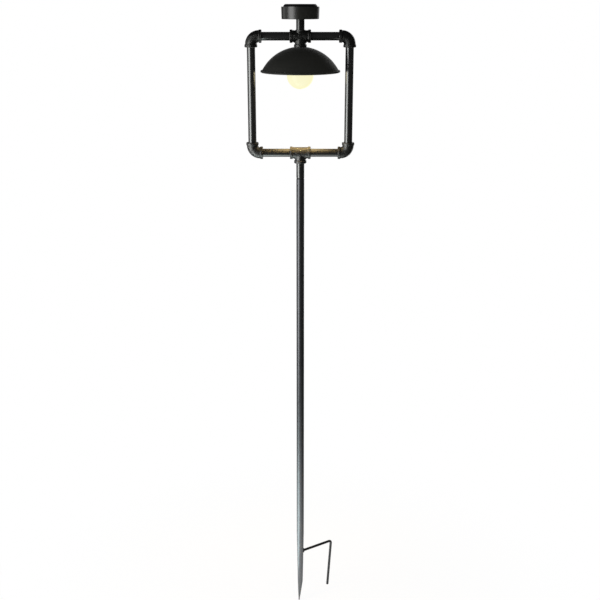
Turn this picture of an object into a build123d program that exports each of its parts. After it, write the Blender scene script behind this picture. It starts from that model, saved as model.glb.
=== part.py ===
"""Solar pipe-frame garden stake lamp: a tubular ground stake with a foot step, a square frame of
threaded pipe and cast fittings, a domed shade with a screw-in lamp, and a round solar cap on top.

Units are millimetres. +Z is up, +X is to the right of the front view and the front faces -Y.
The origin is on the pole's axis at ground level, where the foot step's underside meets the soil."""

import math
import os

from build123d import *

# Pipe and threaded fittings
PIPE_OD = 17.2
PIPE_WALL = 1.2
THREAD_ENGAGE = 11.0  # length of pipe inside a fitting
FIT_GAP = 0.1  # radial gap between a pipe and the fitting around it
FITTING_REACH = 22.0  # fitting's centre to its end face
FITTING_WALL = 3.0
BAND_WIDTH = 6.0
BAND_RAISE = 1.5  # how far the end bands stand out of the fitting's body
BAND_ROUND = 1.2
SEAT_LEDGE = 1.7  # inner ledge that stops the pipe
ELBOW_BEND = 16.0  # bend radius on the elbow's centre line
TEE_FILLET = 5.0
BRANCH_STEP = 0.8  # the tee's branch is this much thinner than its run

# Ground pole and foot step
POLE_TOP = 935.5  # height of the pole's top end above ground
SPIKE_DEPTH = 139.0
TAPER_LENGTH = 195.0  # from the tip up to the pole's full width
POINT_LENGTH = 56.0  # solid four-sided point below the swaged tube
POINT_RADIUS = 6.2  # where the point meets the swaged tube
TIP_RADIUS = 1.6
TIP_FLAT = 1.1  # half width across the four pressed flats, at the tip
TIP_LEAN = 3.0  # the pressed tip ends this far to the left of the axis
STEP_ROD = 6.0
STEP_REACH = 91.0  # pole's axis to the rod's outer leg
STEP_AZIMUTH = 31.5  # degrees behind the frame's plane
STEP_LEG = 125.5
STEP_TOE_IN = 9.5
STEP_BEND = 6.0
WELD_LEG = 2.4

# Plug joint between the pole and the head
SPIGOT_GAP = 0.08  # running gap in the tubes
SPIGOT_INSERT = 40.0  # length in the pole
SPIGOT_BORE = 4.5  # radius of the bore that lightens the spigot
COLLAR_THICK = 3.0
COLLAR_INSET = 0.5  # the collar is this much inside the tubes' outer faces
SPIGOT_LEAD = 1.0  # chamfer on both ends
STUB_EXPOSED = 31.2  # stub pipe that shows under the frame

# Frame
FRAME_WIDTH = 203.5  # between the uprights' axes
FRAME_HEIGHT = 239.0  # between the bars' axes

# Solar cap
CAP_RISE = 33.6  # upper bar's axis to the cap's underside
CAP_OD = 78.0
CAP_DRAFT = 0.7  # the cap's underside is this much smaller in radius
CAP_HEIGHT = 24.2
CAP_WALL = 2.2
CAP_FLOOR = 2.5
CAP_ROUND = 1.2
HUB_DEPTH = 6.0  # length of stem inside the cap's hub
HUB_WALL = 2.2
HUB_ROOF = 2.5
LEDGE_WIDTH = 1.6
LEDGE_THICK = 2.0
SEAL_THICK = 1.0
LID_GAP = 0.3
LID_FLANGE = 2.5
LID_RAISE = 5.0  # the lid's crown above the cap's rim
LID_CROWN_OD = 69.5
LID_BEVEL = 3.5
LID_FLOOR = 1.5  # under the panel pocket
LID_RECESS_R = 26.0
POCKET_OD = 58.0
PANEL_SIDE = 39.0
PANEL_THICK = 1.6
CELL_GAP = 1.2
CELL_THICK = 0.3
CELL_ROWS = 2
WINDOW_THICK = 1.8
WINDOW_SINK = 0.3  # the window lies this far under the crown
SCREW_PCD = 61.0
SCREW_COUNT = 4
SCREW_R = 1.4
SCREW_GAP = 0.1
SCREW_HEAD_R = 2.4
SCREW_HEAD_H = 2.0
SCREW_SLOT = 0.8
SCREW_SINK = 1.0  # screw heads lie this deep in the cap's underside
SCREW_BITE = 3.0  # screw length in the lid's boss
PILLAR_R = 3.6

# Electronics in the cap
BOARD_LENGTH = 40.0
BOARD_DEPTH = 12.0
BOARD_THICK = 1.6
BOARD_Y = -19.5
BOARD_LIFT = 5.0  # board's underside above the cap's floor
POST_R = 2.2
POST_SPREAD = 34.0
BOARD_SCREW_R = 1.0
BOARD_SCREW_HEAD_R = 1.9
BOARD_SCREW_HEAD_H = 1.2
CHIP_LENGTH = 5.0
CHIP_WIDTH = 4.0
CHIP_TALL = 1.5
CHIP_X = -8.0
COIL_R = 3.0
COIL_H = 4.0
COIL_X = 9.0
SWITCH_WALL = 0.9
SWITCH_FLOOR_GAP = 0.4  # switch case above the cap's floor
SWITCH_TRAVEL = 4.0
KNOB_LENGTH = 3.6
KNOB_WIDTH = 3.0
KNOB_GAP = 0.3
KNOB_PROUD = 1.6  # knob below the cap's underside
KNOB_FLANGE = 0.8  # the knob's flange inside the case is this much wider on each side
KNOB_FLANGE_THICK = 1.2
CELL_R = 7.0
CELL_LENGTH = 42.0
CELL_NUB_R = 2.5
CELL_NUB = 1.0
BATTERY_Y = 19.0
TRAY_FLOOR = 1.5
TRAY_END = 1.6
TRAY_WIDTH = 10.0
TRAY_TALL = 12.0
CONTACT_THICK = 0.6
CONTACT_SIDE = 8.0

# Lamp holder, shade and leads
SHADE_SPHERE = 90.6  # radius of the dome's outside
SHADE_WALL = 1.2
SHADE_FLAT = 16.0  # radius of the flat seat on top
SHADE_RIM = 80.6  # radius where the dome meets its rolled bead
BEAD_R = 2.2
BEAD_OUT = 0.2  # bead's centre outside the rim
NIPPLE_R = 5.0
NIPPLE_BORE = 3.4
WIRE_HOLE_R = 5.0
HOLDER_OD = 33.6
HOLDER_WALL = 2.3
HOLDER_ROOF = 3.2
HOLDER_LENGTH = 28.0
HOLDER_INSET = 1.0  # the holder's top face ends this far inside the shade's flat seat
INSULATOR_THICK = 3.0
SHELL_WALL = 1.0
SHELL_LENGTH = 19.0
CONTACT_R = 3.0
CONTACT_H = 1.2
LEAD_R = 0.8
LEAD_SPREAD = 1.6  # each lead's distance from the axis
LEAD_BEND = 3.0
LEAD_LOOP = 5.0  # the leads rise this far above the board

# Lamp
LAMP_GAP = 0.25  # lamp's thread crest to the holder's screw shell
THREAD_PITCH = 3.629
THREAD_DEPTH = 0.8
THREAD_TURNS = 3.5
THREAD_FLANK = 0.9  # half width of the thread's ridge at its root
TIP_CONTACT_R = 4.6
TIP_CONTACT_H = 1.2
LAMP_INSULATOR_H = 2.4
LAMP_BASE_LENGTH = 17.0
LAMP_BASE_WALL = 0.7
GLOBE_R = 28.0
GLOBE_WALL = 0.9
NECK_LENGTH = 5.0  # globe's neck inside the base
NECK_FILLET = 3.0
STEM_R = 3.0
STEM_DISC = 1.2
FILAMENT_R = 0.8
FILAMENT_LENGTH = 24.0
FILAMENT_COUNT = 4
FILAMENT_RING = 8.0

# Sizes that follow from the ones above
PIPE_R = PIPE_OD / 2
BORE_R = PIPE_R - PIPE_WALL
SOCKET_R = PIPE_R + FIT_GAP
BODY_R = SOCKET_R + FITTING_WALL
BAND_R = BODY_R + BAND_RAISE
WATERWAY_R = SOCKET_R - SEAT_LEDGE
SEAT = FITTING_REACH - THREAD_ENGAGE  # fitting's centre to the ledge its pipe rests on
BOSS_R = SOCKET_R + FITTING_WALL - BRANCH_STEP
BOSS_TOP = BODY_R + BRANCH_STEP
BOSS_SEAT = WATERWAY_R + BRANCH_STEP
STUB_BOTTOM = POLE_TOP + COLLAR_THICK
LOWER_Z = STUB_BOTTOM + STUB_EXPOSED + FITTING_REACH
UPPER_Z = LOWER_Z + FRAME_HEIGHT
SIDE_X = FRAME_WIDTH / 2
TIP_Z = -SPIKE_DEPTH
TAPER_Z = TIP_Z + TAPER_LENGTH
POINT_Z = TIP_Z + POINT_LENGTH

CAP_Z = UPPER_Z + CAP_RISE
CAP_R = CAP_OD / 2
CAP_INNER_R = CAP_R - CAP_DRAFT - CAP_WALL
CAP_RIM_Z = CAP_Z + CAP_HEIGHT
FLOOR_Z = CAP_Z + CAP_FLOOR
HUB_R = SOCKET_R + HUB_WALL
LID_Z = CAP_RIM_Z - LID_FLANGE
SEAL_Z = LID_Z - SEAL_THICK
LEDGE_Z = SEAL_Z - LEDGE_THICK
LEDGE_R = CAP_INNER_R - LEDGE_WIDTH
LID_R = CAP_INNER_R - LID_GAP
CROWN_Z = CAP_RIM_Z + LID_RAISE
WINDOW_Z = CROWN_Z - WINDOW_SINK - WINDOW_THICK
PANEL_TOP = WINDOW_Z - CELL_THICK
POCKET_Z = PANEL_TOP - PANEL_THICK
BOARD_Z = FLOOR_Z + BOARD_LIFT
BOARD_TOP = BOARD_Z + BOARD_THICK
BATTERY_Z = FLOOR_Z + TRAY_FLOOR + CELL_R

SHADE_TOP = UPPER_Z - FITTING_REACH
DOME_Z = SHADE_TOP - math.sqrt(SHADE_SPHERE**2 - SHADE_FLAT**2)  # dome's centre
RIM_Z = DOME_Z + math.sqrt(SHADE_SPHERE**2 - SHADE_RIM**2)
HOLDER_TOP = SHADE_TOP - SHADE_WALL
HOLDER_R = HOLDER_OD / 2
HOLDER_INNER_R = HOLDER_R - HOLDER_WALL
HOLDER_CHAMFER = HOLDER_R - SHADE_FLAT + HOLDER_INSET
ROOF_Z = HOLDER_TOP - HOLDER_ROOF
INSULATOR_Z = ROOF_Z - INSULATOR_THICK
SHELL_R = HOLDER_INNER_R - FIT_GAP
SHELL_BORE = SHELL_R - SHELL_WALL
CONTACT_Z = INSULATOR_Z - CONTACT_H

CREST_R = SHELL_BORE - LAMP_GAP
BASE_R = CREST_R - THREAD_DEPTH
LAMP_TOP = CONTACT_Z - FIT_GAP
LAMP_INSULATOR_Z = LAMP_TOP - TIP_CONTACT_H - LAMP_INSULATOR_H
LAMP_BASE_Z = LAMP_INSULATOR_Z - LAMP_BASE_LENGTH
NECK_R = BASE_R - LAMP_BASE_WALL - FIT_GAP
GLOBE_Z = LAMP_BASE_Z - math.sqrt((GLOBE_R + NECK_FILLET) ** 2 - (BASE_R + NECK_FILLET) ** 2)

RIGHT = Vector(1, 0, 0)
UP = Vector(0, 0, 1)

os.makedirs("parts", exist_ok=True)


def keep(builder, label):
    """Labels a finished piece and writes its STEP file."""
    builder.part.label = label
    export_step(builder.part, f"parts/{label}.step")


def level(z):
    """The horizontal plane at height z."""
    return Plane.XY.offset(z)


def circles_of(builder, radius):
    """The builder's circular edges of one radius."""
    rings = builder.edges().filter_by(GeomType.CIRCLE)
    return rings.filter_by(lambda edge: abs(edge.radius - radius) < 1e-4)


def pipe(label, start, end):
    """A straight pipe between two points on its axis."""
    run = end - start
    with BuildPart() as tube:
        with BuildSketch(Plane(origin=start, z_dir=run)):
            Circle(PIPE_R)
            Circle(BORE_R, mode=Mode.SUBTRACT)
        extrude(amount=run.length)
    keep(tube, label)


def elbow(label, corner, first, second):
    """A cast elbow whose axes meet at corner and whose ends point along first and second."""
    ends = [corner + direction * FITTING_REACH for direction in (first, second)]
    with BuildPart() as fitting:
        with BuildLine():
            FilletPolyline(ends[0], corner, ends[1], radius=ELBOW_BEND)
        with BuildSketch(Plane(origin=ends[0], z_dir=corner - ends[0])):
            Circle(BODY_R)
        sweep()
        for end in ends:
            with BuildSketch(Plane(origin=end, z_dir=corner - end)):
                Circle(BAND_R)
            extrude(amount=BAND_WIDTH)
        fillet(circles_of(fitting, BAND_R), BAND_ROUND)
        with BuildLine():
            FilletPolyline(ends[0], corner, ends[1], radius=ELBOW_BEND)
        with BuildSketch(Plane(origin=ends[0], z_dir=corner - ends[0])):
            Circle(WATERWAY_R)
        sweep(mode=Mode.SUBTRACT)
        for end in ends:
            with BuildSketch(Plane(origin=end, z_dir=corner - end)):
                Circle(SOCKET_R)
            extrude(amount=THREAD_ENGAGE, mode=Mode.SUBTRACT)
    keep(fitting, label)


def tee(label, centre, has_boss):
    """A cast tee with its run along X and its branch down. The boss takes a stem on top."""
    ends = [centre + direction * FITTING_REACH for direction in (-RIGHT, RIGHT, -UP)]
    with BuildPart() as fitting:
        with BuildSketch(Plane(origin=ends[0], z_dir=RIGHT)):
            Circle(BODY_R)
        extrude(amount=2 * FITTING_REACH)
        with BuildSketch(Plane(origin=centre, z_dir=-UP)):
            Circle(BODY_R - BRANCH_STEP)
        extrude(amount=FITTING_REACH)
        fillet(fitting.edges().filter_by(GeomType.BSPLINE), TEE_FILLET)
        if has_boss:
            with BuildSketch(Plane(origin=centre)):
                Circle(BOSS_R)
            extrude(amount=BOSS_TOP)
        for end in ends:
            with BuildSketch(Plane(origin=end, z_dir=centre - end)):
                Circle(BAND_R)
            extrude(amount=BAND_WIDTH)
        fillet(circles_of(fitting, BAND_R), BAND_ROUND)
        with BuildSketch(Plane(origin=ends[0], z_dir=RIGHT)):
            Circle(WATERWAY_R)
        extrude(amount=2 * FITTING_REACH, mode=Mode.SUBTRACT)
        with BuildSketch(Plane(origin=centre, z_dir=-UP)):
            Circle(WATERWAY_R)
        extrude(amount=FITTING_REACH, mode=Mode.SUBTRACT)
        for end in ends:
            with BuildSketch(Plane(origin=end, z_dir=centre - end)):
                Circle(SOCKET_R)
            extrude(amount=THREAD_ENGAGE, mode=Mode.SUBTRACT)
        if has_boss:
            with BuildSketch(Plane(origin=centre + UP * BOSS_SEAT)):
                Circle(SOCKET_R)
            extrude(amount=BOSS_TOP, mode=Mode.SUBTRACT)
            with BuildSketch(Plane(origin=centre)):
                Circle(WIRE_HOLE_R)
            extrude(amount=BOSS_TOP, mode=Mode.SUBTRACT)
    keep(fitting, label)


def swage(mouth, throat):
    """A round taper of the pole, from radius mouth at its full width to throat above the point."""
    with BuildPart() as taper:
        with BuildSketch(level(TAPER_Z)):
            Circle(mouth)
        with BuildSketch(level(POINT_Z)):
            Circle(throat)
        loft()
    return taper.part


# Ground pole: a tube whose lower end is swaged to a taper and pressed to a solid four-sided point
swage_outside = swage(PIPE_R, POINT_RADIUS)
swage_inside = swage(BORE_R, POINT_RADIUS - PIPE_WALL)
with BuildPart() as ground_pole:
    with BuildSketch(level(POINT_Z)):
        Circle(POINT_RADIUS)
    with BuildSketch(level(TIP_Z)):
        with Locations((-TIP_LEAN, 0)):
            Circle(TIP_RADIUS)
    loft()
    with BuildSketch(level(POINT_Z)):
        Rectangle(2 * POINT_RADIUS, 2 * POINT_RADIUS)
    with BuildSketch(level(TIP_Z)):
        with Locations((-TIP_LEAN, 0)):
            Rectangle(2 * TIP_FLAT, 2 * TIP_FLAT)
    loft(mode=Mode.INTERSECT)
    add(swage_outside)
    add(swage_inside, mode=Mode.SUBTRACT)
    with BuildSketch(level(TAPER_Z)):
        Circle(PIPE_R)
        Circle(BORE_R, mode=Mode.SUBTRACT)
    extrude(amount=POLE_TOP - TAPER_Z)
keep(ground_pole, "ground_pole")

# Foot step: one bent rod, coped to the pole and welded on
step_out = Vector(1, 0, 0).rotate(Axis.Z, STEP_AZIMUTH)
step_root = UP * (STEP_ROD / 2)
step_corner = step_root + step_out * STEP_REACH
step_foot = step_corner - UP * STEP_LEG - step_out * STEP_TOE_IN
swage_slope = (PIPE_R - POINT_RADIUS) / (TAPER_Z - POINT_Z)
weld_r = POINT_RADIUS + swage_slope * (step_root.Z - POINT_Z)  # the pole's radius at the arm
weld_start = math.sqrt(weld_r**2 - (STEP_ROD / 2 + WELD_LEG) ** 2)
with BuildPart() as foot_step:
    with BuildLine():
        FilletPolyline(step_root, step_corner, step_foot, radius=STEP_BEND)
    with BuildSketch(Plane(origin=step_root, z_dir=step_out)):
        Circle(STEP_ROD / 2)
    sweep()
    with BuildSketch(Plane(origin=step_root + step_out * weld_start, z_dir=step_out)):
        Circle(STEP_ROD / 2 + WELD_LEG)
    with BuildSketch(Plane(origin=step_root + step_out * (weld_r + WELD_LEG), z_dir=step_out)):
        Circle(STEP_ROD / 2)
    loft()
    add(swage_outside, mode=Mode.SUBTRACT)
keep(foot_step, "foot_step")

# Plug spigot: it stands in the pole, its collar fills the joint line and the head turns on it
SPIGOT_R = BORE_R - SPIGOT_GAP
with BuildPart() as pole_spigot:
    with BuildSketch(level(POLE_TOP - SPIGOT_INSERT)):
        Circle(SPIGOT_R)
    extrude(amount=SPIGOT_INSERT + COLLAR_THICK + STUB_EXPOSED)
    chamfer(circles_of(pole_spigot, SPIGOT_R), SPIGOT_LEAD)
    with BuildSketch(level(POLE_TOP)):
        Circle(PIPE_R - COLLAR_INSET)
    extrude(amount=COLLAR_THICK)
    with BuildSketch(level(POLE_TOP - SPIGOT_INSERT)):
        Circle(SPIGOT_BORE)
    extrude(amount=SPIGOT_INSERT + COLLAR_THICK + STUB_EXPOSED, mode=Mode.SUBTRACT)
keep(pole_spigot, "pole_spigot")

# Pipe frame: fittings at the corners and the middles, with a pipe in every gap between them
lower_mid = UP * LOWER_Z
upper_mid = UP * UPPER_Z
pipe("pole_stub", UP * STUB_BOTTOM, lower_mid - UP * SEAT)
tee("lower_tee", lower_mid, False)
tee("upper_tee", upper_mid, True)
for side, way in (("left", -RIGHT), ("right", RIGHT)):
    lower_corner = lower_mid + way * SIDE_X
    upper_corner = upper_mid + way * SIDE_X
    pipe(f"lower_bar_{side}", lower_mid + way * SEAT, lower_corner - way * SEAT)
    pipe(f"upper_bar_{side}", upper_mid + way * SEAT, upper_corner - way * SEAT)
    pipe(f"upright_{side}", lower_corner + UP * SEAT, upper_corner - UP * SEAT)
    elbow(f"lower_elbow_{side}", lower_corner, -way, UP)
    elbow(f"upper_elbow_{side}", upper_corner, -way, -UP)
pipe("cap_stem", upper_mid + UP * BOSS_SEAT, UP * (CAP_Z + HUB_DEPTH))

# Solar cap housing: a shallow drafted tub with a hub for the stem and pillars for the lid's screws
KNOB_SLOT = KNOB_LENGTH + SWITCH_TRAVEL + 2 * KNOB_GAP
KNOB_SLOT_WIDTH = KNOB_WIDTH + 2 * KNOB_GAP
with BuildPart() as cap_housing:
    with BuildSketch(level(CAP_Z)):
        Circle(CAP_R - CAP_DRAFT)
    with BuildSketch(level(CAP_RIM_Z)):
        Circle(CAP_R)
    loft()
    fillet(circles_of(cap_housing, CAP_R - CAP_DRAFT), CAP_ROUND)
    with BuildSketch(level(FLOOR_Z)):
        Circle(CAP_INNER_R)
    extrude(amount=CAP_HEIGHT, mode=Mode.SUBTRACT)
    with BuildSketch(level(LEDGE_Z)):
        Circle(CAP_INNER_R)
        Circle(LEDGE_R, mode=Mode.SUBTRACT)
    extrude(amount=LEDGE_THICK)
    with BuildSketch(level(FLOOR_Z)):
        Circle(HUB_R)
    extrude(amount=HUB_DEPTH + HUB_ROOF - CAP_FLOOR)
    with BuildSketch(level(FLOOR_Z)):
        with PolarLocations(SCREW_PCD / 2, SCREW_COUNT):
            Circle(PILLAR_R)
    extrude(amount=LID_Z - FLOOR_Z)
    with BuildSketch(level(FLOOR_Z)):
        with Locations((-POST_SPREAD / 2, BOARD_Y), (POST_SPREAD / 2, BOARD_Y)):
            Circle(POST_R)
    extrude(amount=BOARD_LIFT)
    with BuildSketch(level(CAP_Z)):
        Circle(SOCKET_R)
    extrude(amount=HUB_DEPTH, mode=Mode.SUBTRACT)
    with BuildSketch(level(CAP_Z)):
        Circle(WIRE_HOLE_R)
    extrude(amount=CAP_HEIGHT, mode=Mode.SUBTRACT)
    with BuildSketch(level(CAP_Z)):
        with PolarLocations(SCREW_PCD / 2, SCREW_COUNT):
            Circle(SCREW_HEAD_R + SCREW_GAP)
    extrude(amount=SCREW_SINK + SCREW_HEAD_H, mode=Mode.SUBTRACT)
    with BuildSketch(level(CAP_Z)):
        with PolarLocations(SCREW_PCD / 2, SCREW_COUNT):
            Circle(SCREW_R + SCREW_GAP)
    extrude(amount=CAP_HEIGHT, mode=Mode.SUBTRACT)
    with BuildSketch(level(FLOOR_Z)):
        with Locations((-POST_SPREAD / 2, BOARD_Y), (POST_SPREAD / 2, BOARD_Y)):
            Circle(BOARD_SCREW_R + SCREW_GAP)
    extrude(amount=BOARD_LIFT, mode=Mode.SUBTRACT)
    with BuildSketch(level(CAP_Z)):
        with Locations((0, BOARD_Y)):
            Rectangle(KNOB_SLOT, KNOB_SLOT_WIDTH)
    extrude(amount=CAP_FLOOR, mode=Mode.SUBTRACT)
keep(cap_housing, "cap_housing")

# Seal ring between the housing's ledge and the lid
with BuildPart() as lid_seal:
    with BuildSketch(level(SEAL_Z)):
        Circle(CAP_INNER_R - FIT_GAP)
        Circle(LEDGE_R + 2 * FIT_GAP, mode=Mode.SUBTRACT)
    extrude(amount=SEAL_THICK)
keep(lid_seal, "lid_seal")

# Lid: a flange inside the rim and a raised crown with a pocket for the panel
with BuildPart() as cap_lid:
    with BuildSketch(level(LID_Z)):
        Circle(LID_R)
    extrude(amount=LID_FLANGE)
    with BuildSketch(level(CAP_RIM_Z)):
        Circle(LID_CROWN_OD / 2)
    extrude(amount=LID_RAISE)
    chamfer(cap_lid.edges().group_by(Axis.Z)[-1], LID_BEVEL)
    with BuildSketch(level(POCKET_Z)):
        Circle(POCKET_OD / 2)
    extrude(amount=LID_RAISE + LID_FLANGE, mode=Mode.SUBTRACT)
    with BuildSketch(level(LID_Z)):
        Circle(LID_RECESS_R)
    extrude(amount=POCKET_Z - LID_Z - LID_FLOOR, mode=Mode.SUBTRACT)
    with BuildSketch(level(LID_Z)):
        with PolarLocations(SCREW_PCD / 2, SCREW_COUNT):
            Circle(SCREW_R + SCREW_GAP)
    extrude(amount=SCREW_BITE, mode=Mode.SUBTRACT)
keep(cap_lid, "cap_lid")

# Solar panel board, its cells and the clear window over them
with BuildPart() as solar_panel:
    with BuildSketch(level(POCKET_Z)):
        Rectangle(PANEL_SIDE, PANEL_SIDE)
    extrude(amount=PANEL_THICK)
keep(solar_panel, "solar_panel")

CELL_SIDE = (PANEL_SIDE - (CELL_ROWS + 1) * CELL_GAP) / CELL_ROWS
with BuildPart() as solar_cells:
    with BuildSketch(level(PANEL_TOP)):
        with GridLocations(CELL_SIDE + CELL_GAP, CELL_SIDE + CELL_GAP, CELL_ROWS, CELL_ROWS):
            Rectangle(CELL_SIDE, CELL_SIDE)
    extrude(amount=CELL_THICK)
keep(solar_cells, "solar_cells")

with BuildPart() as panel_window:
    with BuildSketch(level(WINDOW_Z)):
        Circle(POCKET_OD / 2 - FIT_GAP)
    extrude(amount=WINDOW_THICK)
keep(panel_window, "panel_window")

# Screws that hold the lid from below, with driver slots in their heads
head_z = CAP_Z + SCREW_SINK
with BuildPart() as lid_screws:
    with BuildSketch(level(head_z)):
        with PolarLocations(SCREW_PCD / 2, SCREW_COUNT):
            Circle(SCREW_HEAD_R)
    extrude(amount=SCREW_HEAD_H)
    with BuildSketch(level(head_z)):
        with PolarLocations(SCREW_PCD / 2, SCREW_COUNT):
            Circle(SCREW_R)
    extrude(amount=LID_Z + SCREW_BITE - head_z)
    with BuildSketch(level(head_z)):
        with PolarLocations(SCREW_PCD / 2, SCREW_COUNT):
            Rectangle(2 * SCREW_HEAD_R, SCREW_SLOT)
    extrude(amount=SCREW_HEAD_H / 2, mode=Mode.SUBTRACT)
keep(lid_screws, "lid_screws")

# Circuit board on two posts, with its screws, its chip and its coil
with BuildPart() as circuit_board:
    with BuildSketch(level(BOARD_Z)):
        with Locations((0, BOARD_Y)):
            Rectangle(BOARD_LENGTH, BOARD_DEPTH)
        with Locations((-POST_SPREAD / 2, BOARD_Y), (POST_SPREAD / 2, BOARD_Y)):
            Circle(BOARD_SCREW_R + SCREW_GAP, mode=Mode.SUBTRACT)
    extrude(amount=BOARD_THICK)
keep(circuit_board, "circuit_board")

with BuildPart() as board_screws:
    with BuildSketch(level(BOARD_TOP)):
        with Locations((-POST_SPREAD / 2, BOARD_Y), (POST_SPREAD / 2, BOARD_Y)):
            Circle(BOARD_SCREW_HEAD_R)
    extrude(amount=BOARD_SCREW_HEAD_H)
    with BuildSketch(level(FLOOR_Z + BOARD_LIFT / 2)):
        with Locations((-POST_SPREAD / 2, BOARD_Y), (POST_SPREAD / 2, BOARD_Y)):
            Circle(BOARD_SCREW_R)
    extrude(amount=BOARD_LIFT / 2 + BOARD_THICK)
keep(board_screws, "board_screws")

with BuildPart() as control_chip:
    with BuildSketch(level(BOARD_TOP)):
        with Locations((CHIP_X, BOARD_Y)):
            Rectangle(CHIP_LENGTH, CHIP_WIDTH)
    extrude(amount=CHIP_TALL)
keep(control_chip, "control_chip")

with BuildPart() as boost_coil:
    with BuildSketch(level(BOARD_TOP)):
        with Locations((COIL_X, BOARD_Y)):
            Circle(COIL_R)
    extrude(amount=COIL_H)
keep(boost_coil, "boost_coil")

# Slide switch under the board; its flanged knob comes out through the cap's floor, here set to on
case_z = FLOOR_Z + SWITCH_FLOOR_GAP
flange_z = case_z + SWITCH_WALL + KNOB_GAP / 2
FLANGE_LENGTH = KNOB_LENGTH + 2 * KNOB_FLANGE
FLANGE_WIDTH = KNOB_WIDTH + 2 * KNOB_FLANGE
CAVITY_LENGTH = FLANGE_LENGTH + SWITCH_TRAVEL + 2 * KNOB_GAP
CAVITY_WIDTH = FLANGE_WIDTH + 2 * KNOB_GAP
with BuildPart() as switch_case:
    with BuildSketch(level(case_z)):
        with Locations((0, BOARD_Y)):
            Rectangle(CAVITY_LENGTH + 2 * SWITCH_WALL, CAVITY_WIDTH + 2 * SWITCH_WALL)
    extrude(amount=BOARD_Z - case_z)
    with BuildSketch(level(case_z + SWITCH_WALL)):
        with Locations((0, BOARD_Y)):
            Rectangle(CAVITY_LENGTH, CAVITY_WIDTH)
    extrude(amount=KNOB_FLANGE_THICK + KNOB_GAP, mode=Mode.SUBTRACT)
    with BuildSketch(level(case_z)):
        with Locations((0, BOARD_Y)):
            Rectangle(KNOB_SLOT, KNOB_SLOT_WIDTH)
    extrude(amount=SWITCH_WALL, mode=Mode.SUBTRACT)
keep(switch_case, "switch_case")

with BuildPart() as switch_knob:
    with BuildSketch(level(CAP_Z - KNOB_PROUD)):
        with Locations((SWITCH_TRAVEL / 2, BOARD_Y)):
            Rectangle(KNOB_LENGTH, KNOB_WIDTH)
    extrude(amount=flange_z - CAP_Z + KNOB_PROUD)
    fillet(switch_knob.edges().group_by(Axis.Z)[0], KNOB_GAP)
    with BuildSketch(level(flange_z)):
        with Locations((SWITCH_TRAVEL / 2, BOARD_Y)):
            Rectangle(FLANGE_LENGTH, FLANGE_WIDTH)
    extrude(amount=KNOB_FLANGE_THICK)
keep(switch_knob, "switch_knob")

# Rechargeable cell between two contact plates in an open tray
minus_x = -CELL_LENGTH / 2
plus_x = CELL_LENGTH / 2 + CELL_NUB
tray_left = minus_x - CONTACT_THICK - TRAY_END
tray_right = plus_x + CONTACT_THICK + TRAY_END
tray_mid = (tray_left + tray_right) / 2
with BuildPart() as battery_cell:
    with BuildSketch(Plane(origin=(minus_x, BATTERY_Y, BATTERY_Z), z_dir=RIGHT)):
        Circle(CELL_R)
    extrude(amount=CELL_LENGTH)
    with BuildSketch(Plane(origin=(CELL_LENGTH / 2, BATTERY_Y, BATTERY_Z), z_dir=RIGHT)):
        Circle(CELL_NUB_R)
    extrude(amount=CELL_NUB)
keep(battery_cell, "battery_cell")

with BuildPart() as battery_contacts:
    for plate_x in (minus_x - CONTACT_THICK, plus_x):
        with BuildSketch(Plane(origin=(plate_x, BATTERY_Y, BATTERY_Z), z_dir=RIGHT)):
            Rectangle(CONTACT_SIDE, CONTACT_SIDE)
        extrude(amount=CONTACT_THICK)
keep(battery_contacts, "battery_contacts")

with BuildPart() as battery_tray:
    with BuildSketch(level(FLOOR_Z)):
        with Locations((tray_mid, BATTERY_Y)):
            Rectangle(tray_right - tray_left, TRAY_WIDTH)
    extrude(amount=TRAY_TALL)
    with BuildSketch(level(FLOOR_Z + TRAY_FLOOR)):
        with Locations((tray_mid, BATTERY_Y)):
            Rectangle(tray_right - tray_left - 2 * TRAY_END, TRAY_WIDTH)
    extrude(amount=TRAY_TALL, mode=Mode.SUBTRACT)
keep(battery_tray, "battery_tray")

# Lamp leads: from the board over the hub, down the stem and the upper tee to the lamp holder
for colour, lead_x in (("red", -LEAD_SPREAD), ("black", LEAD_SPREAD)):
    lead_start = Vector(lead_x, BOARD_Y + BOARD_DEPTH / 2 - LEAD_BEND, BOARD_TOP)
    lead_loop = lead_start + UP * LEAD_LOOP
    lead_drop = Vector(lead_x, 0, lead_loop.Z)
    with BuildPart() as lead:
        with BuildLine():
            FilletPolyline(lead_start, lead_loop, lead_drop, Vector(lead_x, 0, ROOF_Z), radius=LEAD_BEND)
        with BuildSketch(level(lead_start.Z).move(Location((lead_start.X, lead_start.Y, 0)))):
            Circle(LEAD_R)
        sweep()
    keep(lead, f"lamp_lead_{colour}")

# Bush in the upper tee's branch and the hollow nipple that hangs the lamp from it
with BuildPart() as branch_bush:
    with BuildSketch(level(SHADE_TOP)):
        Circle(PIPE_R)
        Circle(NIPPLE_R + FIT_GAP, mode=Mode.SUBTRACT)
    extrude(amount=THREAD_ENGAGE)
keep(branch_bush, "branch_bush")

with BuildPart() as lamp_nipple:
    with BuildSketch(level(ROOF_Z)):
        Circle(NIPPLE_R)
        Circle(NIPPLE_BORE, mode=Mode.SUBTRACT)
    extrude(amount=SHADE_TOP + THREAD_ENGAGE - ROOF_Z)
keep(lamp_nipple, "lamp_nipple")

# Shade: a spun dome with a flat seat on top and a rolled bead round its rim
def dome_line(radius, edge):
    """Arc of the dome from its seat to the rim, in the plane of revolution."""
    start = (math.sqrt(radius**2 - (edge - DOME_Z) ** 2), edge)
    lean = (math.asin(start[0] / radius) + math.asin(SHADE_RIM / SHADE_SPHERE)) / 2
    middle = (radius * math.sin(lean), DOME_Z + radius * math.cos(lean))
    end = (radius * SHADE_RIM / SHADE_SPHERE, DOME_Z + radius * (RIM_Z - DOME_Z) / SHADE_SPHERE)
    return start, middle, end


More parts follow.
